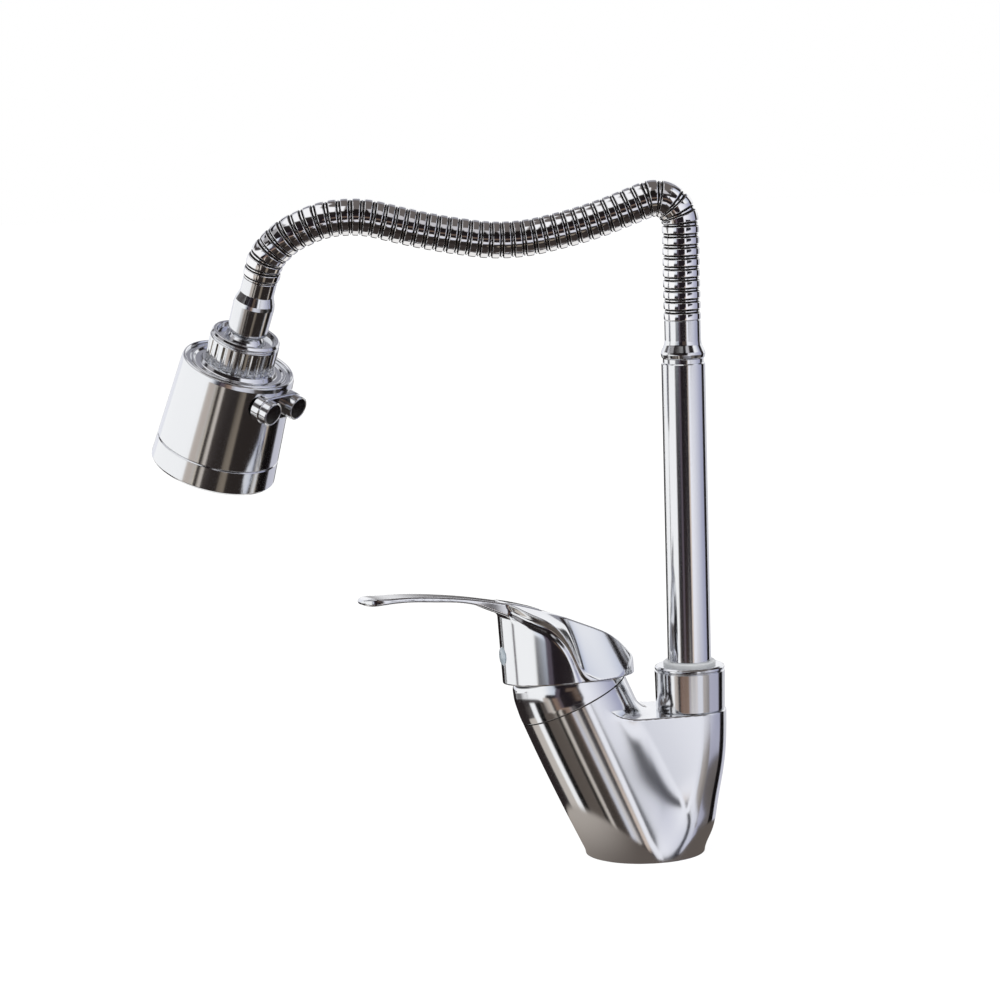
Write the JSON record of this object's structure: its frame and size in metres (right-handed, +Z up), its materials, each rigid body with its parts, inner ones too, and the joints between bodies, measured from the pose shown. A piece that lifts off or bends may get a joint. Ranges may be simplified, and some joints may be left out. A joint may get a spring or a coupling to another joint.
{
  "type": "kitchen faucet",
  "caption": "Single-lever kitchen mixer with a leaning cartridge arm, an upright spout tube, a ribbed bendable gooseneck and a swivelling spray head with push buttons.",
  "frame": {"origin": "centre of the foot's underside, on the sink deck", "axes": "+Z up, -Y towards the sink (lever and spray head), +X to the right of a person at the sink facing +Y"},
  "size_m": [0.0913, 0.262, 0.3116],
  "materials": {
    "polished_chrome": "mirror-polished plate",
    "chrome_armour": "polished armour, dark in the grooves",
    "cast_brass": "machined",
    "nylon_white": "translucent white nylon",
    "cartridge_plastic": "moulded, matt",
    "valve_plastic": "moulded, matt",
    "ceramic": "lapped alumina",
    "rubber_black": "matt rubber",
    "spray_face": "matt grey moulding",
    "nozzle_rubber": "grey silicone",
    "steel": "plain stainless",
    "indicator": "smoked clear plug"
  },
  "bodies": {
    "faucet_body": {"body_casting": "polished_chrome", "base_gasket": "rubber_black", "cartridge_base": "cartridge_plastic", "port_seals": "rubber_black", "fixed_ceramic_disc": "ceramic", "cartridge_housing": "cartridge_plastic", "cartridge_nut": "cast_brass", "bonnet": "polished_chrome", "spout_nut": "polished_chrome", "spout_bush": "nylon_white"},
    "cartridge_swivel": {"cartridge_rotor": "cartridge_plastic", "stem_pin": "steel"},
    "lever": {"cartridge_stem": "cast_brass", "lever_handle": "polished_chrome", "handle_screw": "steel", "indicator_plug": "indicator"},
    "disc_carriage": {"moving_ceramic_disc": "ceramic", "disc_carrier": "cartridge_plastic"},
    "spout": {"spout_foot": "cast_brass", "spout_o_rings": "rubber_black", "spout_tube": "polished_chrome", "lower_ferrule": "polished_chrome", "hose_section_1": "chrome_armour", "water_hose": "rubber_black"},
    "gooseneck_2": {"hose_section_2": "chrome_armour"},
    "gooseneck_3": {"hose_section_3": "chrome_armour"},
    "gooseneck_4": {"hose_section_4": "chrome_armour"},
    "gooseneck_5": {"hose_section_5": "chrome_armour"},
    "gooseneck_6": {"hose_section_6": "chrome_armour", "hose_connector": "polished_chrome"},
    "head_seat": {"ball_seat": "valve_plastic"},
    "spray_head": {"swivel_nut": "polished_chrome", "head_cap": "polished_chrome", "filter_screen": "steel", "head_shell": "polished_chrome", "button_boss": "polished_chrome", "valve_body": "valve_plastic", "diverter_valve": "valve_plastic", "diverter_seal": "rubber_black", "head_ring": "polished_chrome", "spray_plate": "spray_face", "nozzle_ring": "nozzle_rubber", "aerator": "cartridge_plastic", "aerator_screen": "steel", "stream_spring": "steel", "spray_spring": "steel"},
    "stream_push": {"stream_button": "polished_chrome"},
    "spray_push": {"spray_button": "polished_chrome"}
  },
  "joints": [
    {"name": "lever_swing", "type": "hinge", "parent": "faucet_body", "child": "cartridge_swivel", "pos_m": [0, -0.03053, 0.07126], "axis": [0, -0.4067, 0.9135], "range_deg": [-62, 38]},
    {"name": "lever_lift", "type": "hinge", "parent": "cartridge_swivel", "child": "lever", "pos_m": [0, -0.03581, 0.08313], "axis": [0.9781, 0.1899, 0.0846], "range_deg": [0, 21.5]},
    {"name": "disc_slide", "type": "slide", "parent": "cartridge_swivel", "child": "disc_carriage", "axis": [-0.2079, 0.8936, 0.3978], "range_m": [0, 0.00602]},
    {"name": "spout_swivel", "type": "hinge", "parent": "faucet_body", "child": "spout", "pos_m": [0, 0.0229, 0.0664], "axis": [0, 0, 1], "continuous": true},
    {"name": "gooseneck_bend_1", "type": "hinge", "parent": "spout", "child": "gooseneck_2", "pos_m": [0, 0.0229, 0.27], "axis": [1, 0, 0], "range_deg": [-12, 12], "deforming": ["water_hose"]},
    {"name": "gooseneck_bend_2", "type": "hinge", "parent": "gooseneck_2", "child": "gooseneck_3", "pos_m": [0, 0.00111, 0.30012], "axis": [1, 0, 0], "range_deg": [-12, 12], "deforming": ["water_hose"]},
    {"name": "gooseneck_bend_3", "type": "hinge", "parent": "gooseneck_3", "child": "gooseneck_4", "pos_m": [0, -0.04704, 0.28708], "axis": [0, -0.1206, 0.9927], "range_deg": [-12, 12], "deforming": ["water_hose"]},
    {"name": "gooseneck_bend_4", "type": "hinge", "parent": "gooseneck_4", "child": "gooseneck_5", "pos_m": [0, -0.09937, 0.29328], "axis": [1, 0, 0], "range_deg": [-12, 12], "deforming": ["water_hose"]},
    {"name": "gooseneck_bend_5", "type": "hinge", "parent": "gooseneck_5", "child": "gooseneck_6", "pos_m": [-0.00156, -0.14478, 0.29623], "axis": [0.9928, -0.1119, -0.043], "range_deg": [-12, 12], "deforming": ["water_hose"]},
    {"name": "head_tilt", "type": "hinge", "parent": "gooseneck_6", "child": "head_seat", "pos_m": [-0.01859, -0.17737, 0.23977], "axis": [-0.7541, 0.6555, 0.0399], "range_deg": [-15, 15]},
    {"name": "head_spin", "type": "hinge", "parent": "head_seat", "child": "spray_head", "pos_m": [-0.01859, -0.17737, 0.23977], "axis": [0.275, 0.26, 0.9256], "continuous": true},
    {"name": "stream_press", "type": "slide", "parent": "spray_head", "child": "stream_push", "axis": [-0.5964, -0.709, 0.3763], "range_m": [0, 0.0025], "stiffness_N_per_m": 600, "springref_m": -0.004, "deforming": ["stream_spring"]},
    {"name": "spray_press", "type": "slide", "parent": "spray_head", "child": "spray_push", "axis": [-0.5964, -0.709, 0.3763], "range_m": [0, 0.0025], "stiffness_N_per_m": 600, "springref_m": -0.004, "deforming": ["spray_spring"]}
  ],
  "couplings": [
    {"joint": "disc_slide", "follows": "lever_lift", "m_per_rad": 0.016018}
  ]
}
